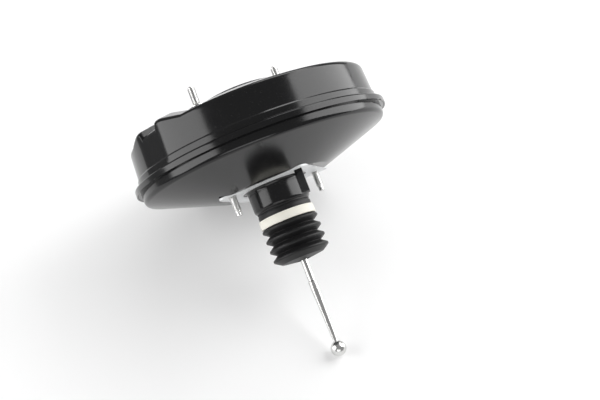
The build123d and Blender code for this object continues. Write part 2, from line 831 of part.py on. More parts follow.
# Plunger: air-valve head with the socket for the input rod, groove and stem
groove_rear = key_rear - plunger_travel - free_gap
groove_front = key_rear + stop_key_thickness + free_gap
with BuildPart() as plunger:
    with BuildSketch():
        add(half_section(
            [
                (0, plunger_head_rear),
                (plunger_head_radius, plunger_head_rear),
                (plunger_head_radius, plunger_head_front),
                (stem_bore_radius - running_gap, plunger_head_front),
                (stem_bore_radius - running_gap, groove_rear),
                (plunger_groove_radius, groove_rear),
                (plunger_groove_radius, groove_front),
                (stem_bore_radius - running_gap, groove_front),
                (stem_bore_radius - running_gap, plunger_front),
                (0, plunger_front),
            ],
            [0, 0, 1.0, 0, 0, 0, 0, 0, 0.8, 0],
        ))
    revolve(axis=Axis.Y)
    socket_radius = pivot_ball_radius + running_gap
    mouth_station = pivot_station - (socket_radius**2 - socket_mouth_radius**2) ** 0.5
    with BuildSketch():
        add(half_section([
            (0, pivot_station),
            (0, plunger_head_rear - 1),
            (socket_mouth_radius + 1.0, plunger_head_rear - 1),
            (socket_mouth_radius, mouth_station),
        ]))
    revolve(axis=Axis.Y, mode=Mode.SUBTRACT)
    with Locations((0, pivot_station, 0)):
        Sphere(socket_radius, mode=Mode.SUBTRACT)
pieces["plunger"] = plunger

# Input rod: pivot ball, slim end with the spring collar, thicker tapered end and pedal ball
with BuildPart() as input_rod:
    with BuildSketch():
        add(half_section(
            [
                (0, pivot_station),
                (pivot_neck_radius, pivot_station),
                (pivot_neck_radius, plunger_head_rear - 4),
                (rod_slim_radius, plunger_head_rear - 5.5),
                (rod_slim_radius, collar_station),
                (collar_radius, collar_station),
                (collar_radius, collar_station - collar_height),
                (rod_slim_radius, collar_station - collar_height),
                (rod_slim_radius, rod_step_station),
                (rod_thick_radius, rod_step_station - 1.0),
                (rod_thick_radius, rod_step_station - 8.0),
                (rod_tip_radius, ball_station + ball_radius),
                (rod_tip_radius, ball_station),
                (0, ball_station),
            ],
            [0, 0, 0, 0, 0, 0.6, 0.6, 0, 0, 0.4, 30.0, 0, 0, 0],
        ))
    revolve(axis=Axis.Y)
    with Locations((0, pivot_station, 0)):
        Sphere(pivot_ball_radius)
    with Locations((0, ball_station, 0)):
        Sphere(ball_radius)
pieces["input_rod"] = input_rod
with BuildPart() as spring_washer:
    with BuildSketch():
        add(ring_section(
            rod_slim_radius + touch_gap, washer_radius, collar_station + touch_gap, washer_front))
    revolve(axis=Axis.Y)
pieces["spring_washer"] = spring_washer

# Control valve: rubber disc with its sleeve and bead, the cup that holds it, and the filter
with BuildPart() as control_valve:
    with BuildSketch():
        add(half_section([
            (valve_hole_radius, valve_face_station),
            (valve_sleeve_radius, valve_face_station),
            (valve_sleeve_radius, valve_bead_front),
            (tube_bore_radius - touch_gap, valve_bead_front),
            (tube_bore_radius - touch_gap, valve_bead_rear),
            (valve_sleeve_radius - rubber, valve_bead_rear),
            (valve_sleeve_radius - rubber, valve_back),
            (valve_hole_radius, valve_back),
        ]))
    revolve(axis=Axis.Y)
pieces["control_valve"] = control_valve
cup_radius = valve_sleeve_radius - rubber - touch_gap
cup_rear = valve_bead_rear - touch_gap - 2 * retainer_thickness
cup_shelf = cup_rear + retainer_thickness
with BuildPart() as valve_cup:
    with BuildSketch():
        add(half_section([
            (rod_spring_radius - 1.5, cup_rear),
            (tube_bore_radius - touch_gap, cup_rear),
            (tube_bore_radius - touch_gap, valve_bead_rear - touch_gap),
            (cup_radius, valve_bead_rear - touch_gap),
            (cup_radius, valve_bead_front + 2.0),
            (cup_radius - retainer_thickness, valve_bead_front + 2.0),
            (cup_radius - retainer_thickness, cup_shelf),
            (rod_spring_radius - 1.5, cup_shelf),
        ]))
    revolve(axis=Axis.Y)
pieces["valve_cup"] = valve_cup
with BuildPart() as air_filter:
    with BuildSketch():
        add(ring_section(
            filter_hole_radius,
            tube_bore_radius - touch_gap,
            tube_rear + tube_lip_thickness + touch_gap,
            filter_front,
        ))
    revolve(axis=Axis.Y)
pieces["air_filter"] = air_filter

# Coil springs
springs = {
    "return_spring": coil(
        return_spring_radius, return_wire_radius, return_turns,
        cap_flange_front + touch_gap, reinforcement_rear - free_gap),
    "valve_spring": coil(
        valve_spring_radius, valve_wire_radius, valve_turns,
        cup_shelf + touch_gap, valve_back - touch_gap),
    "rod_spring": coil(
        rod_spring_radius, rod_wire_radius, rod_turns,
        washer_front + free_gap + 2 * touch_gap, cup_rear - touch_gap),
}

os.makedirs("parts", exist_ok=True)
for name, piece in pieces.items():
    piece.part.label = name
    export_step(piece.part, "parts/" + name + ".step")
for name, spring in springs.items():
    spring.label = name
    export_step(spring, "parts/" + name + ".step")
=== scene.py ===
"""Dresses the vacuum brake booster: smooth shells, threaded studs, boot, rod and springs.

Sizes are in millimetres in the classes and in metres in the meshes. The frame is the CAD
model's own: +Y points forward to the master cylinder and the bolts stand on the X axis.
"""

import logging
from dataclasses import dataclass, field
from enum import Enum
from math import atan2, cos, hypot, pi, radians, sin, tan

import bmesh
import bpy
import numpy as np
from mathutils import Matrix, Vector

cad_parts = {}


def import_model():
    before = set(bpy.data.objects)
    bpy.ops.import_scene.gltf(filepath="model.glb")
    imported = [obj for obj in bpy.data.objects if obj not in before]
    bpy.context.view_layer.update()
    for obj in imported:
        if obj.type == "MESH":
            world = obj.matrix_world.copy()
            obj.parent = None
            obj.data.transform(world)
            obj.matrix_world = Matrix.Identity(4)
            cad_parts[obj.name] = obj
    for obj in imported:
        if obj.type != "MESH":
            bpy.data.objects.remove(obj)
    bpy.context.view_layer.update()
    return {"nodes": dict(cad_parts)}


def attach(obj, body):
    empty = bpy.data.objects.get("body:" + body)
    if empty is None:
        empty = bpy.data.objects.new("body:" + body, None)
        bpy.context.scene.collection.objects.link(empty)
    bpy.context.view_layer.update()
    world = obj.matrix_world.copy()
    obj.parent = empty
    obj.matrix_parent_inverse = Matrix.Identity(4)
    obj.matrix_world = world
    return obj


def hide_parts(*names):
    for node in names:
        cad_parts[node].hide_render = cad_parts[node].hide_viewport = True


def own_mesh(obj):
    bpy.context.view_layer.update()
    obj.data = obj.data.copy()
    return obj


MM = 0.001
BOLT_X = 51.0
BOLT_HOLE = 4.6
LOG = logging.getLogger("booster")
Point = tuple[float, float]
Material = bpy.types.Material
Piece = bpy.types.Object


class Grain(Enum):
    """The fine structure that a finish shows."""

    LACQUER = "lacquer"
    BRUSHED = "brushed"
    PLATED = "plated"
    MOULDED = "moulded"
    RUBBERY = "rubbery"
    FIBROUS = "fibrous"


# Shader node groups, each built once


def new_group(name: str, inputs: dict[str, float], outputs: list[str]) -> bpy.types.NodeTree:
    """Makes an empty shader node group.

    Args:
        name: The group's name.
        inputs: Its number inputs with their default values.
        outputs: Its number outputs.

    Returns:
        The group, with its input and output nodes in place.
    """
    tree = bpy.data.node_groups.new(name, "ShaderNodeTree")
    for label, value in inputs.items():
        socket = tree.interface.new_socket(label, in_out="INPUT", socket_type="NodeSocketFloat")
        socket.default_value = value
    for label in outputs:
        tree.interface.new_socket(label, in_out="OUTPUT", socket_type="NodeSocketFloat")
    tree.nodes.new("NodeGroupInput")
    tree.nodes.new("NodeGroupOutput")
    return tree


def group_ends(tree: bpy.types.NodeTree) -> tuple[bpy.types.Node, bpy.types.Node]:
    """Returns a group's input node and output node."""
    ends = {node.bl_idname: node for node in tree.nodes}
    return ends["NodeGroupInput"], ends["NodeGroupOutput"]


def noise(tree: bpy.types.NodeTree, scale: bpy.types.NodeSocket, detail: float,
          stretch: tuple[float, float, float] = (1, 1, 1)) -> bpy.types.Node:
    """Adds a noise texture on Object coordinates.

    Args:
        tree: The node tree to add to.
        scale: The socket that gives the noise's scale.
        detail: How many finer layers the noise has.
        stretch: How the pattern is scaled along each axis.

    Returns:
        The noise node.
    """
    place = tree.nodes.new("ShaderNodeTexCoord")
    mapping = tree.nodes.new("ShaderNodeMapping")
    mapping.inputs["Scale"].default_value = stretch
    texture = tree.nodes.new("ShaderNodeTexNoise")
    texture.inputs["Detail"].default_value = detail
    tree.links.new(place.outputs["Object"], mapping.inputs["Vector"])
    tree.links.new(mapping.outputs["Vector"], texture.inputs["Vector"])
    tree.links.new(scale, texture.inputs["Scale"])
    return texture


def grain_group(grain: Grain) -> bpy.types.NodeTree:
    """Returns the node group of one grain: its tone from 0 to 1, and its height.

    Args:
        grain: Which fine structure the group makes.

    Returns:
        The group, built at its first use.
    """
    name = "grain_" + grain.value
    if name in bpy.data.node_groups:
        return bpy.data.node_groups[name]
    tree = new_group(name, {"Scale": 400.0}, ["Tone", "Height"])
    start, end = group_ends(tree)
    stretches = {Grain.BRUSHED: (1.0, 14.0, 1.0), Grain.FIBROUS: (1.0, 0.35, 1.0)}
    stretch = stretches.get(grain, (1, 1, 1))
    detail = {Grain.LACQUER: 1.0, Grain.MOULDED: 4.0, Grain.RUBBERY: 5.0}.get(grain, 3.0)
    fine = noise(tree, start.outputs["Scale"], detail, stretch)
    slow = tree.nodes.new("ShaderNodeMath")
    slow.operation = "MULTIPLY"
    slow.inputs[1].default_value = 0.09
    tree.links.new(start.outputs["Scale"], slow.inputs[0])
    broad = noise(tree, slow.outputs[0], 2.0)
    blend = tree.nodes.new("ShaderNodeMix")
    blend.inputs["Factor"].default_value = 0.5
    tree.links.new(fine.outputs["Fac"], blend.inputs["A"])
    tree.links.new(broad.outputs["Fac"], blend.inputs["B"])
    tree.links.new(blend.outputs["Result"], end.inputs["Tone"])
    if grain is Grain.FIBROUS:
        cells = tree.nodes.new("ShaderNodeTexVoronoi")
        place = tree.nodes.new("ShaderNodeTexCoord")
        tree.links.new(place.outputs["Object"], cells.inputs["Vector"])
        tree.links.new(start.outputs["Scale"], cells.inputs["Scale"])
        tree.links.new(cells.outputs["Distance"], end.inputs["Height"])
    else:
        tree.links.new(fine.outputs["Fac"], end.inputs["Height"])
    return tree


def dust_group() -> bpy.types.NodeTree:
    """Returns the node group for settled dust: a mask of specks, thin all over."""
    name = "settled_dust"
    if name in bpy.data.node_groups:
        return bpy.data.node_groups[name]
    tree = new_group(name, {"Scale": 900.0, "Amount": 0.1}, ["Mask"])
    start, end = group_ends(tree)
    specks = noise(tree, start.outputs["Scale"], 2.0)
    edge = tree.nodes.new("ShaderNodeMapRange")
    edge.inputs["From Min"].default_value = 0.66
    edge.inputs["From Max"].default_value = 0.78
    tree.links.new(specks.outputs["Fac"], edge.inputs["Value"])
    tree.links.new(start.outputs["Amount"], edge.inputs["To Max"])
    tree.links.new(edge.outputs["Result"], end.inputs["Mask"])
    return tree


@dataclass(frozen=True)
class Finish:
    """A surface finish that becomes one material.
    """

    name: str
    colour: tuple[float, float, float]
    grain: Grain
    scale: float
    relief: float
    roughness: Point
    metallic: float = 0.0
    mottle: float = 0.12
    dust: float = 0.0
    specular: float = 0.5
    sheen: float = 0.0

    def material(self) -> Material:
        """Returns the finish's material, built at its first use."""
        if self.name in bpy.data.materials:
            return bpy.data.materials[self.name]
        made = bpy.data.materials.new(self.name)
        made.use_nodes = True
        tree = made.node_tree
        shader = tree.nodes["Principled BSDF"]
        shader.inputs["Metallic"].default_value = self.metallic
        shader.inputs["Specular IOR Level"].default_value = self.specular
        shader.inputs["Sheen Weight"].default_value = self.sheen
        grain = tree.nodes.new("ShaderNodeGroup")
        grain.node_tree = grain_group(self.grain)
        grain.inputs["Scale"].default_value = self.scale
        rough = tree.nodes.new("ShaderNodeMapRange")
        rough.inputs["From Min"].default_value = 0.3
        rough.inputs["From Max"].default_value = 0.7
        rough.inputs["To Min"].default_value = self.roughness[0]
        rough.inputs["To Max"].default_value = self.roughness[1]
        tree.links.new(grain.outputs["Tone"], rough.inputs["Value"])
        tree.links.new(rough.outputs["Result"], shader.inputs["Roughness"])
        shade = tree.nodes.new("ShaderNodeMix")
        shade.data_type = "RGBA"
        low = tuple(c * (1 - self.mottle) for c in self.colour)
        high = tuple(min(1.0, c * (1 + self.mottle)) for c in self.colour)
        shade.inputs["A"].default_value = (*low, 1)
        shade.inputs["B"].default_value = (*high, 1)
        tree.links.new(grain.outputs["Tone"], shade.inputs["Factor"])
        colour = shade.outputs["Result"]
        if self.dust:
            film = tree.nodes.new("ShaderNodeGroup")
            film.node_tree = dust_group()
            film.inputs["Amount"].default_value = self.dust
            over = tree.nodes.new("ShaderNodeMix")
            over.data_type = "RGBA"
            over.inputs["B"].default_value = (0.45, 0.44, 0.42, 1)
            tree.links.new(film.outputs["Mask"], over.inputs["Factor"])
            tree.links.new(colour, over.inputs["A"])
            colour = over.outputs["Result"]
        tree.links.new(colour, shader.inputs["Base Color"])
        bump = tree.nodes.new("ShaderNodeBump")
        bump.inputs["Distance"].default_value = self.relief * MM
        tree.links.new(grain.outputs["Height"], bump.inputs["Height"])
        tree.links.new(bump.outputs["Normal"], shader.inputs["Normal"])
        return made


BLACK_PAINT = Finish("gloss_black_paint", (0.004, 0.004, 0.0045), Grain.LACQUER, 700, 0.003,
                     (0.13, 0.19), mottle=0.2, dust=0.08, specular=0.42)
ZINC = Finish("pale_zinc_plate", (0.90, 0.91, 0.92), Grain.PLATED, 500, 0.006,
              (0.42, 0.55), metallic=0.35, mottle=0.05)
STUD_STEEL = Finish("zinc_plated_stud", (0.74, 0.74, 0.73), Grain.PLATED, 900, 0.01,
                    (0.22, 0.40), metallic=1.0)
BARE_STEEL = Finish("satin_steel", (0.52, 0.52, 0.53), Grain.PLATED, 500, 0.01,
                    (0.30, 0.48), metallic=1.0)
ROD_STEEL = Finish("bright_rod_steel", (0.70, 0.70, 0.69), Grain.BRUSHED, 350, 0.006,
                   (0.14, 0.30), metallic=1.0)
SPRING_STEEL = Finish("dark_spring_steel", (0.22, 0.22, 0.23), Grain.PLATED, 700, 0.01,
                      (0.3, 0.5), metallic=1.0)
ALLOY = Finish("turned_alloy", (0.76, 0.76, 0.77), Grain.BRUSHED, 500, 0.008,
               (0.25, 0.42), metallic=1.0)
BOOT_RUBBER = Finish("matt_boot_rubber", (0.010, 0.010, 0.0105), Grain.RUBBERY, 600, 0.02,
                     (0.38, 0.52), mottle=0.3, dust=0.03, specular=0.3)
SEAL_RUBBER = Finish("seal_rubber", (0.014, 0.014, 0.015), Grain.RUBBERY, 700, 0.02,
                     (0.45, 0.62), dust=0.08)
BLACK_PLASTIC = Finish("moulded_black_plastic", (0.018, 0.018, 0.019), Grain.MOULDED, 900, 0.02,
                       (0.36, 0.5), dust=0.08)
WHITE_PLASTIC = Finish("white_bush_plastic", (0.82, 0.82, 0.79), Grain.MOULDED, 800, 0.015,
                       (0.4, 0.55))
IVORY_FELT = Finish("pressed_ivory_felt", (0.91, 0.89, 0.80), Grain.FIBROUS, 1500, 0.12,
                    (0.85, 0.98), mottle=0.08, sheen=0.25)
FILTER_FOAM = Finish("grey_filter_foam", (0.16, 0.16, 0.16), Grain.FIBROUS, 1200, 0.3,
                     (0.9, 1.0), mottle=0.4)


# Modelling helpers


def rounded(points: list[Point], rounds: list[float], finest: int = 8) -> list[Point]:
    """Rounds the inner corners of a half section.

    Args:
        points: Radius and station of each corner.
        rounds: The radius at each inner corner.
        finest: The most straight runs that stand for one round.

    Returns:
        The section with its rounds, and with a ring close to each end of a long straight run.
    """
    line = [Vector(points[0])]
    for before, corner, after, radius in zip(points, points[1:], points[2:], rounds):
        here = Vector(corner)
        into = (here - Vector(before)).normalized()
        out = (Vector(after) - here).normalized()
        turn = atan2(into.x * out.y - into.y * out.x, into.dot(out))
        if radius <= 0 or abs(turn) < 0.01:
            line.append(here)
            continue
        side = 1 if turn > 0 else -1
        steps = max(3, min(finest, round(2 + 1.2 * radius)))
        start = here - into * radius * tan(abs(turn) / 2)
        centre = start + Vector((-into.y, into.x)) * side * radius
        for step in range(steps + 1):
            swing = turn * step / steps
            arm = start - centre
            line.append(centre + Vector((arm.x * cos(swing) - arm.y * sin(swing),
                                         arm.x * sin(swing) + arm.y * cos(swing))))
    line.append(Vector(points[-1]))
    braced = [line[0]]
    for start, end in zip(line, line[1:]):
        run = end - start
        if run.length > 3.0:
            braced += [start + run.normalized() * 0.5, end - run.normalized() * 0.5]
        braced.append(end)
    return [tuple(point) for point in braced]


def choose(piece: Piece) -> None:
    """Selects one piece alone and makes it the active one."""
    bpy.ops.object.select_all(action="DESELECT")
    piece.select_set(True)
    bpy.context.view_layer.objects.active = piece


def edit(piece: Piece) -> None:
    """Enters edit mode on one piece with everything in it selected."""
    choose(piece)
    bpy.ops.object.mode_set(mode="EDIT")
    bpy.ops.mesh.select_mode(type="VERT")
    bpy.ops.mesh.select_all(action="SELECT")


def settle(piece: Piece, smooth: float = 30.0) -> Piece:
    """Leaves edit mode, puts the piece's place into its mesh and shades it.

    Args:
        piece: The piece that was modelled.
        smooth: Edges sharper than this many degrees stay sharp.

    Returns:
        The same piece.
    """
    if piece.mode == "EDIT":
        bpy.ops.object.mode_set(mode="OBJECT")
    choose(piece)
    bpy.ops.object.transform_apply(location=True, rotation=True, scale=True)
    bpy.ops.object.shade_smooth_by_angle(angle=radians(smooth))
    return piece


def turned(name: str, section: list[Point], segments: int = 96, centre: Point = (0, 0),
           loop: bool = False, capped: bool = False) -> Piece:
    """Turns a half section round an axis along Y, ring after ring.

    Args:
        name: The piece's name.
        section: Radius and station of each ring.
        segments: How many faces go round.
        centre: X and Z of the axis.
        loop: True where the section closes on itself.
        capped: True where both ends get a face.

    Returns:
        The turned piece, in object mode.
    """
    bpy.ops.object.select_all(action="DESELECT")
    rings = section + [section[0]] if loop else section
    x, z = centre[0] * MM, centre[1] * MM
    bpy.ops.mesh.primitive_circle_add(
        vertices=segments, radius=rings[0][0] * MM, fill_type="NOTHING",
        location=(x, rings[0][1] * MM, z), rotation=(pi / 2, 0, 0))
    piece = bpy.context.object
    piece.name = name
    edit(piece)
    for (radius, station), (next_radius, next_station) in zip(rings, rings[1:]):
        bpy.ops.mesh.extrude_region_move(
            TRANSFORM_OT_translate={"value": (0, (next_station - station) * MM, 0)})
        size = next_radius / radius
        bpy.ops.transform.resize(value=(size, 1, size), center_override=(x, next_station * MM, z))
    bpy.ops.mesh.select_all(action="SELECT")
    if loop:
        bpy.ops.mesh.remove_doubles(threshold=1e-6)
    if capped:
        bpy.ops.mesh.fill_holes(sides=0)
        bpy.ops.mesh.select_all(action="SELECT")
    bpy.ops.mesh.normals_make_consistent(inside=False)
    return settle(piece)


def apply_modifier(piece: Piece, kind: str, **settings: object) -> None:
    """Adds a modifier to a piece and applies it.

    Args:
        piece: The piece.
        kind: The modifier's type.
        settings: The modifier's settings by name.
    """
    choose(piece)
    modifier = piece.modifiers.new(kind.lower(), kind)
    for name, value in settings.items():
        setattr(modifier, name, value)
    bpy.ops.object.modifier_apply(modifier=modifier.name)


def thicken(piece: Piece, wall: float) -> None:
    """Gives a turned skin an even wall on its inside."""
    apply_modifier(piece, "SOLIDIFY", thickness=wall * MM, offset=-1, use_even_offset=True)


def cylinder(name: str, radius: float, centre: Point, rear: float, front: float) -> Piece:
    """Adds a plain cylinder along Y, used as a tool for cuts and pads."""
    bpy.ops.object.select_all(action="DESELECT")
    bpy.ops.mesh.primitive_cylinder_add(
        vertices=64, radius=radius * MM, depth=(front - rear) * MM,
        location=(centre[0] * MM, (rear + front) / 2 * MM, centre[1] * MM), rotation=(pi / 2, 0, 0))
    tool = bpy.context.object
    tool.name = name
    return settle(tool)


def joined(name: str, parts: list[Piece]) -> Piece:
    """Joins several pieces into one and returns it."""
    bpy.ops.object.select_all(action="DESELECT")
    for part in parts:
        part.select_set(True)
    bpy.context.view_layer.objects.active = parts[0]
    bpy.ops.object.join()
    parts[0].name = name
    return parts[0]


def cut(piece: Piece, tool: Piece, operation: str) -> None:
    """Joins a tool to a piece or cuts it away, and removes the tool."""
    apply_modifier(piece, "BOOLEAN", object=tool, operation=operation, solver="EXACT")
    bpy.data.objects.remove(tool)


def coil(name: str, wire_section: tuple[int, float, float], radius: float, turns: float,
         rear: float, front: float, centre: Point = (0, 0), steps: int = 48) -> Piece:
    """Winds a wire or a thread's ridge round an axis along Y.

    Args:
        name: The piece's name.
        wire_section: The section's corners, its half size outwards and along the axis.
        radius: Radius of the section's middle.
        turns: How many turns the coil has.
        rear: Station of the section's middle at the start.
        front: Station of the section's middle at the end.
        centre: X and Z of the axis.
        steps: How many faces a turn has.

    Returns:
        The coil with closed ends.
    """
    corners, out, along = wire_section
    bpy.ops.object.select_all(action="DESELECT")
    bpy.ops.mesh.primitive_circle_add(
        vertices=corners, radius=1, fill_type="NOTHING", location=(0, 0, 0))
    piece = bpy.context.object
    piece.name = name
    edit(piece)
    bpy.ops.transform.rotate(value=pi / 2, orient_axis="Z", center_override=(0, 0, 0))
    bpy.ops.transform.resize(value=(out * MM, along * MM, 1), center_override=(0, 0, 0))
    bpy.ops.transform.translate(value=(radius * MM, 0, 0))
    settle(piece)
    apply_modifier(piece, "SCREW", axis="Y", angle=2 * pi * turns,
                   screw_offset=(front - rear) * MM, steps=int(steps * turns),
                   render_steps=int(steps * turns), use_normal_calculate=True)
    edit(piece)
    bpy.ops.mesh.remove_doubles(threshold=1e-7)
    bpy.ops.mesh.fill_holes(sides=0)
    bpy.ops.mesh.select_all(action="SELECT")
    bpy.ops.mesh.normals_make_consistent(inside=False)
    box = np.array([vertex.co for vertex in bmesh.from_edit_mesh(piece.data).verts])
    bpy.ops.transform.translate(
        value=(centre[0] * MM, rear * MM - float(box[:, 1].min()) - along * MM, centre[1] * MM))
    return settle(piece, 50)


def dress(piece: Piece, finish: Finish, body: str, nodes: tuple[str, ...] = ()) -> Piece:
    """Gives a finished piece its material, its body and the CAD nodes that it stands for.

    Args:
        piece: The finished piece.
        finish: Its surface.
        body: The body that it moves with.
        nodes: The CAD nodes that it stands for.

    Returns:
        The same piece.
    """
    piece.data.materials.clear()
    piece.data.materials.append(finish.material())
    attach(piece, body)
    if nodes:
        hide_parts(*nodes)
    LOG.info("%s: %d faces", piece.name, len(piece.data.polygons))
    return piece


@dataclass
class FrontShell:
    """The deep front shell with its lip, beads, raised lobes, channel, pads and bore."""

    segments: int = 480
    sheet: float = 1.5
    lip: float = 35.6
    flange_radius: float = 136.0
    flange: float = 41.7
    wall_foot: float = 128.5
    wall_top: float = 127.0
    bead: float = 1.3
    beads: Point = (43.4, 50.0)
    shoulder: float = 80.3
    shoulder_round: float = 5.0
    plateau: Point = (43.0, 101.2)
    plateau_foot: Point = (45.4, 99.5)
    bore: float = 21.0
    bore_depth: float = 8.0
    lobe_angle: float = 171.0
    lobe_station: float = 86.8
    lobe_crest: float = 8.0
    lobe_reach: Point = (60.0, 55.0)
    lobe_blend: float = 22.0
    lobe_depth: Point = (107.0, 100.0)
    lobe_from: float = 74.0
    lobe_widest: float = 70.0
    cone_rings: tuple[tuple[float, float, float], ...] = ((120.5, 97.0, -1.4), (92.0, 50.0, -9.0))
    channel_half: float = 13.0
    channel_depth: float = 1.2
    channel_slope: Point = (3.0, 23.0)
    channel_from: Point = (43.9, 113.0)
    stake_angles: tuple[float, ...] = (50.0, 170.0, 290.0)
    stake_half: float = 4.5
    stake_depth: float = 3.6
    bolt_pad: Point = (9.0, 99.0)
    port: tuple[float, float, float, float] = (300.0, 86.0, 14.5, 93.0)
    port_hole: float = 9.0

    @property
    def slope(self) -> float:
        """How far the front cone rises for each millimetre inwards."""
        return (self.plateau_foot[1] - self.shoulder) / (self.wall_top - self.plateau_foot[0])

    def section(self) -> list[Point]:
        """Returns the outside of the shell's half section, from the lip to the bore's inner end."""
        step = self.wall_foot + self.bead
        low, high = self.beads
        corners = [
            (self.flange_radius, self.lip), (self.flange_radius, self.flange),
            (step + self.bead + 0.3, self.flange + 0.6), (step, low), (step, high - 0.7),
            (self.wall_foot, high + 0.7), (self.wall_top, self.shoulder), self.plateau_foot,
            self.plateau, (self.bore, self.plateau[1]),
            (self.bore, self.plateau[1] - self.bore_depth),
        ]
        line = rounded(corners, [1.5, 0.5, 0.5, 0.6, 0.6, self.shoulder_round, 0.5, 1.8, 1.8], 7)
        fine = []
        for start, end in zip(line, line[1:]):
            fine.append(start)
            if start[0] > 100 and end[1] > self.shoulder and start[0] - end[0] > 20:
                for outer, inner, pace in self.cone_rings:
                    fine += [(r, start[1] + (start[0] - r) * self.slope)
                             for r in np.arange(outer, inner, pace)]
            elif start[0] - 0.5 > end[0] > 100 and end[1] - start[1] > 10:
                fine += [(start[0] + (end[0] - start[0]) * k / 5,
                          start[1] + (end[1] - start[1]) * k / 5) for k in range(1, 5)]
        return fine + [line[-1]]

    def lobe_height(self, side: float, reach: float) -> float:
        """Returns the lobe's station at a place beside the channel.

        Args:
            side: Distance from the channel's middle, along the wall.
            reach: How far this lobe runs along the wall.

        Returns:
            The station of the lobe's top there, or 0 where there is none.
        """
        outline = rounded(
            [(self.channel_half + 0.6, self.shoulder), (self.channel_half + 2.0, self.lobe_station),
             (self.channel_half + self.lobe_crest + 1.0, self.lobe_station),
             (reach - 8, self.shoulder - 1.0), (reach + 10, self.shoulder - 1.0)],
            [1.0, self.lobe_blend, self.lobe_blend], 8)
        if not outline[0][0] <= side <= reach:
            return 0.0
        return float(np.interp(side, [p[0] for p in outline], [p[1] for p in outline]))

    def press_forms(self, piece: Piece) -> None:
        """Presses the lobes, the channel and the lip's stakes, column after column of the wall."""
        edit(piece)
        mesh = bmesh.from_edit_mesh(piece.data)
        mesh.verts.ensure_lookup_table()
        bpy.ops.mesh.select_all(action="DESELECT")
        columns: dict[int, list] = {}
        for vertex in mesh.verts:
            angle = atan2(vertex.co.z, vertex.co.x)
            column = round(angle / (2 * pi) * self.segments) % self.segments
            columns.setdefault(column, []).append(vertex)
        for column, vertices in columns.items():
            angle = column * 2 * pi / self.segments
            away = (angle - radians(self.lobe_angle) + pi) % (2 * pi) - pi
            side = -away * self.wall_top
            height = self.lobe_height(abs(side), self.lobe_reach[0 if side > 0 else 1])
            if abs(side) < self.lobe_widest and height > self.shoulder - 0.4:
                self.press_lobe(vertices, height - self.shoulder)
            depth = self.channel_share(abs(side))
            if depth > 0:
                self.press_channel(vertices, angle, depth)
            for stake in self.stake_angles:
                aside = ((angle - radians(stake) + pi) % (2 * pi) - pi) * self.flange_radius
                if abs(aside) < self.stake_half:
                    radius = (self.flange_radius - self.stake_depth) * MM
                    chosen = [v for v in vertices if v.co.y < (self.lip + 0.3) * MM]
                    self.move(chosen, "resize", value=(0, 1, 0),
                              center_override=(radius * cos(angle), 0, radius * sin(angle)))
        settle(piece)

    @staticmethod
    def move(vertices: list, kind: str, **settings: object) -> None:
        """Selects some vertices, transforms them and deselects them."""
        if not vertices:
            return
        for vertex in vertices:
            vertex.select_set(True)
        getattr(bpy.ops.transform, kind)(**settings)
        for vertex in vertices:
            vertex.select_set(False)

    def press_lobe(self, vertices: list, rise: float) -> None:
        """Raises one column of the shoulder and of the cone behind it, as far as the lobe goes."""
        full, none = self.lobe_depth
        for vertex in vertices:
            radius = hypot(vertex.co.x, vertex.co.z) / MM
            if vertex.co.y > self.lobe_from * MM and radius > none:
                share = min(1.0, (radius - none) / (full - none))
                share = share * share * (3 - 2 * share)
                self.move([vertex], "translate", value=(0, rise * share * MM, 0))

    def channel_share(self, side: float) -> float:
        """Returns how much of the channel's depth is reached at a distance from its middle."""
        flat, edge = self.channel_slope
        return (1 + cos(pi * min(1.0, max(0.0, (side - flat) / (edge - flat))))) / 2

    def press_channel(self, vertices: list, angle: float, share: float) -> None:
        """Sets one column of the wall back by a share of the channel's depth."""
        back = share * self.channel_depth * MM
        station, radius = self.channel_from
        wall = [v for v in vertices
                if v.co.y > station * MM and hypot(v.co.x, v.co.z) > radius * MM]
        self.move(wall, "translate", value=(-back * cos(angle), 0, -back * sin(angle)))

    def build(self) -> Piece:
        """Models the shell and returns it dressed."""
        piece = turned("front_shell_skin", self.section(), self.segments)
        self.press_forms(piece)
        apply_modifier(piece, "SOLIDIFY", thickness=self.sheet * MM, offset=-1)
        angle, distance, radius, station = self.port
        place = (distance * cos(radians(angle)), distance * sin(radians(angle)))
        pad_radius, pad = self.bolt_pad
        ends = [(-BOLT_X, 0.0), (BOLT_X, 0.0)]
        pads = [cylinder("pad", pad_radius + 0.6, end, pad - self.sheet, pad) for end in ends]
        pads.append(cylinder("pad", radius, place, station - 3 * self.sheet, station))
        cuts = [cylinder("cut", pad_radius, end, pad - 0.4, pad + 8) for end in ends]
        cut(piece, joined("cuts", cuts), "DIFFERENCE")
        cut(piece, joined("pads", pads), "UNION")
        holes = [cylinder("hole", BOLT_HOLE, end, pad - 8, pad + 4) for end in ends]
        holes.append(cylinder("hole", self.port_hole, place, station - 9, station + 5))
        cut(piece, joined("holes", holes), "DIFFERENCE")
        settle(piece)
        return dress(piece, BLACK_PAINT, "housing", ("front_shell",))


@dataclass
class RearShell:
    """The dished rear shell with its neck."""

    segments: int = 360
    sheet: float = 1.5
    corners: list[Point] = field(default_factory=lambda: [
        (25.2, -38.0), (25.2, -23.4), (28.5, -21.8), (28.5, 2.0), (58.0, 2.0), (129.3, 26.7),
        (129.3, 37.2), (134.2, 37.2)])
    rounds: list[float] = field(default_factory=lambda: [1.0, 2.0, 5.0, 8.0, 3.2, 1.2])

    def build(self) -> Piece:
        """Models the shell and returns it dressed."""
        piece = turned("rear_shell_skin", rounded(self.corners, self.rounds, 8), self.segments)
        thicken(piece, self.sheet)
        holes = [cylinder("hole", BOLT_HOLE, (x, 0.0), -2, 8) for x in (-BOLT_X, BOLT_X)]
        cut(piece, joined("holes", holes), "DIFFERENCE")
        settle(piece)
        return dress(piece, BLACK_PAINT, "housing", ("rear_shell",))


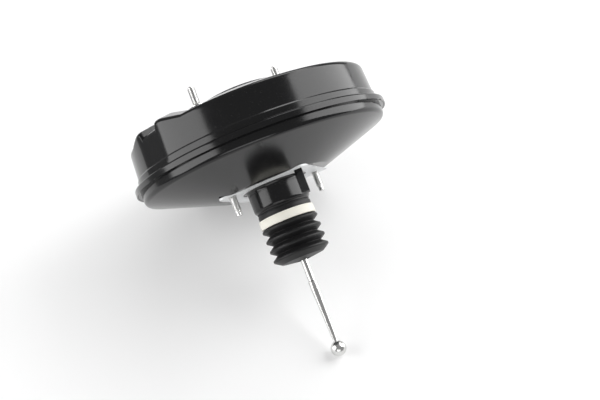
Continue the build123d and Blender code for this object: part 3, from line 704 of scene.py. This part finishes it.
@dataclass
class ThroughBolt:
    """A through bolt with its two threads, shoulders and dog point."""

    name: str
    x: float
    root: float = 3.35
    crest: float = 4.0
    pilot: float = 4.5
    pitch: float = 1.25
    rear: float = -20.7
    dog_end: float = -16.7
    faces: Point = (0.0, 101.2)
    shank: float = 5.0
    shoulder: float = 6.5
    shoulders: tuple[float, float, float, float] = (5.2, 7.2, 91.7, 93.7)
    front: float = 120.8

    def build(self) -> Piece:
        """Models the bolt and returns it dressed."""
        low, low_top, high, high_top = self.shoulders
        rear_face, front_face = self.faces
        section = rounded(
            [(0.4, self.rear), (2.7, self.rear), (2.7, self.dog_end),
             (self.root, self.dog_end + 0.8), (self.root, rear_face), (self.pilot, rear_face),
             (self.pilot, low), (self.shoulder, low), (self.shoulder, low_top),
             (self.shank, low_top), (self.shank, high), (self.shoulder, high),
             (self.shoulder, high_top), (self.pilot, high_top), (self.pilot, front_face),
             (self.root, front_face), (self.root, self.front - 1.0), (2.6, self.front),
             (0.4, self.front)],
            [0.8, 0.0, 0.0, 0.0, 0.3, 0.0, 0.4, 0.4, 0.8, 0.8, 0.4, 0.4, 0.0, 0.3, 0.0, 0.0, 0.0],
            4)
        core = turned(self.name + "_core", section, 40, (self.x, 0), capped=True)
        reach = (self.crest - self.root) / 2
        ridge = (3, reach * 1.36, self.pitch * 0.5)
        threads = []
        for start, end in ((self.dog_end + 1.6, rear_face - 0.4),
                           (front_face + 0.4, self.front - 1.3)):
            turns = (end - start) / self.pitch
            threads.append(coil(self.name + "_thread", ridge, self.root + reach * 0.65, turns,
                                start, end, (self.x, 0), 32))
        piece = joined(self.name + "_turned", [core] + threads)
        return dress(piece, STUD_STEEL, "housing", (self.name,))


@dataclass
class Boot:
    """The bellows boot, in a cuff on the neck and a folded bellows, with its felt ring."""

    seat: float = 26.8
    wall: float = 1.5
    split: float = -41.3
    peaks: tuple[float, ...] = (-43.6, -54.1, -64.6, -75.0)
    peak_radius: float = 29.8
    peak_half: float = 1.0
    valley_radius: float = 23.8
    end: float = -83.0
    end_radius: float = 22.6
    hole: float = 7.4
    felt: tuple[float, float, float, float] = (26.9, 29.3, -40.8, -31.7)

    def cuff(self) -> Piece:
        """Models the cuff that grips the neck."""
        corners = [
            (25.3, -39.6), (self.seat, -39.6), (self.seat, -31.6), (28.1, -31.6), (28.1, -26.9),
            (27.0, -26.6), (27.0, -25.7), (27.9, -25.4), (27.9, -22.8), (25.3, -24.0),
            (25.3, -39.6)]
        section = rounded(corners, [0.2, 0.2, 0.5, 0.5, 0.2, 0.2, 0.5, 0.5, 0.2], 3)
        piece = turned("boot_cuff", section[:-1], 160, loop=True)
        return dress(piece, BOOT_RUBBER, "housing")

    def bellows(self) -> Piece:
        """Models the folds, from the felt ring's seat to the end with the rod's hole."""
        corners: list[Point] = [(self.seat, -39.8), (self.seat, -41.0)]
        rounds = [0.4]
        for number, peak in enumerate(self.peaks):
            corners += [(self.peak_radius, peak + self.peak_half),
                        (self.peak_radius, peak - self.peak_half)]
            rounds += [1.4, 1.4]
            if number < len(self.peaks) - 1:
                corners.append((self.valley_radius, (peak + self.peaks[number + 1]) / 2))
                rounds.append(0.35)
        corners += [(self.end_radius, self.end + 2.2), (self.hole, self.end)]
        rounds.append(1.6)
        piece = turned("boot_bellows", rounded(corners, rounds, 7), 160)
        thicken(piece, self.wall)
        settle(piece, 60)
        dress(piece, BOOT_RUBBER, "housing", ("boot",))
        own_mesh(piece)
        return piece

    def felt_ring(self) -> Piece:
        """Models the pale ring that sits between the cuff and the folds."""
        inner, outer, rear, front = self.felt
        section = rounded([(inner, rear), (outer, rear), (outer, front), (inner, front),
                           (inner, rear)], [0.7, 0.7, 0.1], 4)
        piece = turned("felt_ring_soft", section[:-1], 160, loop=True)
        return dress(piece, IVORY_FELT, "housing", ("felt_ring",))


@dataclass
class InputRod:
    """The input rod with its pivot ball, spring collar, step and pedal ball."""

    pivot: float = -2.0
    pivot_radius: float = 5.0
    ball: float = -179.0
    ball_radius: float = 8.0
    slim: float = 3.75
    thick: float = 4.5
    tip: float = 2.5
    step: float = -105.7
    collar: tuple[float, float, float] = (6.0, -51.6, -54.0)

    def build(self) -> Piece:
        """Models the rod and returns it dressed."""
        section = []
        for degrees in np.linspace(4, 143, 24):
            section.append((self.pivot_radius * sin(radians(degrees)),
                            self.pivot + self.pivot_radius * cos(radians(degrees))))
        neck = section[-1][0]
        radius, front, rear = self.collar
        section += rounded(
            [(neck, -9.0), (neck, -14.0), (self.slim, -15.5), (self.slim, front), (radius, front),
             (radius, rear), (self.slim, rear), (self.slim, self.step),
             (self.thick, self.step - 0.9), (self.thick, self.step - 9.0),
             (self.tip, self.ball + self.ball_radius + 1.5),
             (self.tip, self.ball + self.ball_radius * 0.96)],
            [0.5, 0.5, 0.2, 0.5, 0.5, 0.3, 0.3, 0.4, 40.0, 0.0], 6)
        start = np.degrees(np.arcsin(self.tip / self.ball_radius))
        for degrees in np.linspace(start, 177, 40):
            section.append((self.ball_radius * sin(radians(degrees)),
                            self.ball + self.ball_radius * cos(radians(degrees))))
        piece = turned("input_rod_turned", section, 64, capped=True)
        return dress(piece, ROD_STEEL, "input_rod", ("input_rod",))


@dataclass
class PowerPiston:
    """The soft and sprung pieces of the power piston inside the housing."""

    hub: float = 24.1
    web: float = 10.0
    flat: float = 66.0
    rim: float = 112.4
    slope: float = 0.3464
    roll: float = 46.0
    roll_outer: float = 118.5
    bead_station: float = 38.8
    bead_end: float = 133.4
    rubber: float = 1.3
    seal_hole: float = 8.9

    def web_piece(self) -> Piece:
        """Models the diaphragm's web, which rides on the support plate."""
        foot = self.web + (self.rim - self.flat) * self.slope
        section = rounded([(self.hub, self.web), (self.flat, self.web), (self.rim, foot),
                           (self.rim, foot + 4)], [10.0, 3.5], 5)
        piece = turned("diaphragm_web", section, 240)
        thicken(piece, self.rubber)
        holes = [cylinder("hole", self.seal_hole, (x, 0.0), 0, 30) for x in (-BOLT_X, BOLT_X)]
        cut(piece, joined("holes", holes), "DIFFERENCE")
        collar = turned("diaphragm_bead", [(self.hub, 6.9), (28.5, 6.9), (28.5, self.web),
                                           (self.hub, self.web)], 120, loop=True)
        piece = joined("diaphragm_web", [piece, collar])
        return dress(settle(piece), SEAL_RUBBER, "piston")

    def roll_piece(self) -> Piece:
        """Models the rolling fold between the diaphragm's web and its rim."""
        foot = self.web + (self.rim - self.flat) * self.slope + 4
        section = rounded([(self.rim, foot), (self.rim, self.roll), (self.roll_outer, self.roll),
                           (self.roll_outer, self.bead_station + 2)], [2.8, 2.8], 6)
        piece = turned("diaphragm_roll", section, 240)
        thicken(piece, self.rubber)
        dress(settle(piece), SEAL_RUBBER, "housing", ("diaphragm",))
        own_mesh(piece)
        return piece

    def rim_piece(self) -> Piece:
        """Models the diaphragm's rim, which the two shells clamp."""
        section = rounded([(self.roll_outer, self.bead_station + 2),
                           (self.roll_outer, self.bead_station),
                           (self.bead_end, self.bead_station)], [1.8], 4)
        piece = turned("diaphragm_rim", section, 240)
        thicken(piece, self.rubber)
        return dress(settle(piece), SEAL_RUBBER, "housing")

    def springs(self) -> None:
        """Models the three coil springs."""
        piece = coil("return_spring_wound", (12, 1.9, 1.9), 31.5, 5.5, 39.1, 93.2)
        dress(piece, SPRING_STEEL, "piston", ("return_spring",))
        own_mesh(piece)
        piece = coil("valve_spring_wound", (8, 0.6, 0.6), 10.9, 5, -30.4, -13.4)
        dress(piece, SPRING_STEEL, "piston", ("valve_spring",))
        piece = coil("rod_spring_wound", (8, 0.8, 0.8), 10.5, 5, -48.6, -33.0)
        dress(piece, SPRING_STEEL, "piston", ("rod_spring",))
        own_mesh(piece)

    def build(self) -> None:
        """Models the pieces and dresses them."""
        self.web_piece()
        self.roll_piece()
        self.rim_piece()
        self.springs()


CAD_FINISHES: dict[Finish, tuple[str, ...]] = {
    ZINC: ("firewall_plate",),
    BARE_STEEL: ("reinforcement_plate", "support_plate", "output_rod_cap", "valve_cup",
                 "spring_washer"),
    STUD_STEEL: ("stud_collar_left", "stud_collar_right", "output_rod"),
    SEAL_RUBBER: ("bolt_seal_front_left", "bolt_seal_front_right", "bolt_seal_rear_left",
                  "bolt_seal_rear_right", "vacuum_grommet", "neck_seal", "slide_seal_left",
                  "slide_seal_right", "reaction_disc", "control_valve"),
    BLACK_PLASTIC: ("locating_key", "valve_body", "stop_key"),
    WHITE_PLASTIC: ("guide_bush", "seal_retainer"),
    FILTER_FOAM: ("air_filter",),
    ALLOY: ("plunger",),
}


@dataclass
class Studio:
    """The floor, the lamps and the camera."""

    lens: float = 78.816
    turn: tuple[tuple[float, float, float], ...] = (
        (0.93030649, 0.36283544, 0.05366822),
        (-0.36656942, 0.92475128, 0.10228358),
        (-0.01251765, -0.11482821, 0.99330649))
    shift: tuple[float, float, float] = (-40.33046222, -52.19679548, 1350.70223413)
    stud_line: float = 32.3
    rim: float = 39.2
    floor_normal: tuple[float, float, float] = (-0.2336, 0.5077, 0.8293)
    floor_reach: tuple[float, float, float] = (0.41, 1.1, 1.1)
    ball: tuple[float, float, float] = (0.0, -179.0, 0.0)
    ball_radius: float = 8.0
    floor_tone: float = 0.72
    floor_glow: float = 0.23
    room_light: float = 0.31

    def camera_frame(self) -> Matrix:
        """Returns the camera's place and attitude in the object's frame."""
        c, s = cos(radians(self.stud_line)), sin(radians(self.stud_line))
        axes = Matrix(((c, 0, s), (0, -1, 0), (s, 0, -c)))
        turn = Matrix(self.turn)
        flip = Matrix(((1, 0, 0), (0, -1, 0), (0, 0, -1)))
        to_camera = flip @ turn @ axes
        offset = flip @ (turn @ Vector((0, self.rim, 0)) + Vector(self.shift))
        place = -(to_camera.transposed() @ offset) * MM
        return Matrix.Translation(place) @ to_camera.transposed().to_4x4()

    def camera(self) -> None:
        """Adds the camera."""
        bpy.ops.object.camera_add()
        camera = bpy.context.object
        camera.name = "photo_camera"
        camera.matrix_world = self.camera_frame()
        camera.data.sensor_width = 36
        camera.data.sensor_fit = "HORIZONTAL"
        camera.data.lens = self.lens
        camera.data.clip_end = 20
        bpy.context.scene.camera = camera

    def floor_axes(self) -> tuple[Vector, Vector, Vector]:
        """Returns the photo's right, the floor's upright and the way along it to the camera."""
        upright = Vector(self.floor_normal).normalized()
        right = self.camera_frame().to_3x3() @ Vector((1, 0, 0))
        right = (right - upright * right.dot(upright)).normalized()
        return right, upright, right.cross(upright)

    def floor(self) -> None:
        """Adds the pale floor that the housing's rim and the pedal ball rest on."""
        left, right, depth = self.floor_reach
        across, upright, nearer = self.floor_axes()
        under = upright * upright.dot((Vector(self.ball) - upright * self.ball_radius) * MM)
        bpy.ops.object.select_all(action="DESELECT")
        bpy.ops.mesh.primitive_plane_add(size=2)
        floor = bpy.context.object
        floor.name = "floor"
        attitude = Matrix((across, -nearer, upright)).transposed().to_4x4()
        floor.matrix_world = (Matrix.Translation(under + across * (right - left) / 2) @ attitude
                              @ Matrix.Diagonal(((left + right) / 2, depth, 1, 1)))
        material = bpy.data.materials.new("pale_floor")
        material.use_nodes = True
        tree = material.node_tree
        shader = tree.nodes["Principled BSDF"]
        shader.inputs["Base Color"].default_value = (*[self.floor_tone] * 3, 1)
        shader.inputs["Roughness"].default_value = 0.9
        shader.inputs["Specular IOR Level"].default_value = 0.1
        glow = tree.nodes.new("ShaderNodeEmission")
        glow.inputs["Color"].default_value = (1, 1, 1, 1)
        light_path = tree.nodes.new("ShaderNodeLightPath")
        seen = tree.nodes.new("ShaderNodeMath")
        seen.operation = "MAXIMUM"
        tree.links.new(light_path.outputs["Is Camera Ray"], seen.inputs[0])
        tree.links.new(light_path.outputs["Is Glossy Ray"], seen.inputs[1])
        share = tree.nodes.new("ShaderNodeMath")
        share.operation = "MULTIPLY"
        share.inputs[1].default_value = self.floor_glow
        tree.links.new(seen.outputs[0], share.inputs[0])
        tree.links.new(share.outputs[0], glow.inputs["Strength"])
        total = tree.nodes.new("ShaderNodeAddShader")
        tree.links.new(shader.outputs[0], total.inputs[0])
        tree.links.new(glow.outputs[0], total.inputs[1])
        clear = tree.nodes.new("ShaderNodeBsdfTransparent")
        face = tree.nodes.new("ShaderNodeNewGeometry")
        mix = tree.nodes.new("ShaderNodeMixShader")
        tree.links.new(face.outputs["Backfacing"], mix.inputs[0])
        tree.links.new(total.outputs[0], mix.inputs[1])
        tree.links.new(clear.outputs[0], mix.inputs[2])
        tree.links.new(mix.outputs[0], tree.nodes["Material Output"].inputs["Surface"])
        floor.data.materials.append(material)

    def world(self) -> None:
        """Lights the studio all round and shows white behind the object."""
        world = bpy.data.worlds.new("studio")
        bpy.context.scene.world = world
        world.use_nodes = True
        tree = world.node_tree
        room = tree.nodes["Background"]
        room.inputs["Color"].default_value = (1, 1, 1, 1)
        room.inputs["Strength"].default_value = self.room_light
        seen = tree.nodes.new("ShaderNodeBackground")
        seen.inputs["Color"].default_value = (1, 1, 1, 1)
        seen.inputs["Strength"].default_value = 1.0
        light_path = tree.nodes.new("ShaderNodeLightPath")
        shown = tree.nodes.new("ShaderNodeMath")
        shown.operation = "MAXIMUM"
        tree.links.new(light_path.outputs["Is Camera Ray"], shown.inputs[0])
        tree.links.new(light_path.outputs["Is Transmission Ray"], shown.inputs[1])
        mix = tree.nodes.new("ShaderNodeMixShader")
        tree.links.new(shown.outputs[0], mix.inputs[0])
        tree.links.new(room.outputs[0], mix.inputs[1])
        tree.links.new(seen.outputs[0], mix.inputs[2])
        tree.links.new(mix.outputs[0], tree.nodes["World Output"].inputs["Surface"])

    def lamp(self, name: str, place: tuple[float, float, float], size: Point, power: float) -> None:
        """Adds a soft box that faces the object and stands upright on the floor.

        Args:
            name: The lamp's name.
            place: Its place from the object in metres: right, up and towards the camera.
            size: Its width and height in metres.
            power: Its power in watts.
        """
        right, upright, nearer = self.floor_axes()
        away = right * place[0] + upright * place[1] + nearer * place[2]
        back = away.normalized()
        across = upright.cross(back).normalized()
        bpy.ops.object.light_add(type="AREA")
        lamp = bpy.context.object
        lamp.name = name
        lamp.data.shape = "RECTANGLE"
        lamp.data.size, lamp.data.size_y = size
        lamp.data.energy = power
        attitude = Matrix((across, back.cross(across), back)).transposed()
        lamp.matrix_world = Matrix.Translation(away + Vector((0, 0.02, 0))) @ attitude.to_4x4()

    def build(self) -> None:
        """Adds everything in the studio."""
        bpy.context.scene.view_settings.view_transform = "Standard"
        self.camera()
        self.floor()
        self.world()
        self.lamp("left_box", (-1.36, 0.48, 0.38), (1.2, 1.25), 17)
        self.lamp("right_box", (1.22, 0.72, -0.57), (1.15, 1.9), 29)
        self.lamp("back_box", (0.2, 1.0, -1.25), (1.2, 0.7), 9)
        self.lamp("front_box", (0.1, 0.6, 1.9), (1.6, 0.8), 9)


def main() -> None:
    """Builds the dressed booster and the studio round it."""
    logging.basicConfig(level=logging.INFO, format="%(message)s")
    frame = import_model()
    FrontShell().build()
    RearShell().build()
    ThroughBolt("through_bolt_left", -BOLT_X).build()
    ThroughBolt("through_bolt_right", BOLT_X).build()
    boot = Boot()
    boot.cuff()
    boot.bellows()
    boot.felt_ring()
    InputRod().build()
    PowerPiston().build()
    for finish, nodes in CAD_FINISHES.items():
        for name in nodes:
            node = frame["nodes"][name]
            for slot in node.material_slots:
                slot.material = finish.material()
            LOG.info("%s: finished as %s", name, finish.name)
    Studio().build()


if __name__ == "__main__":
    main()
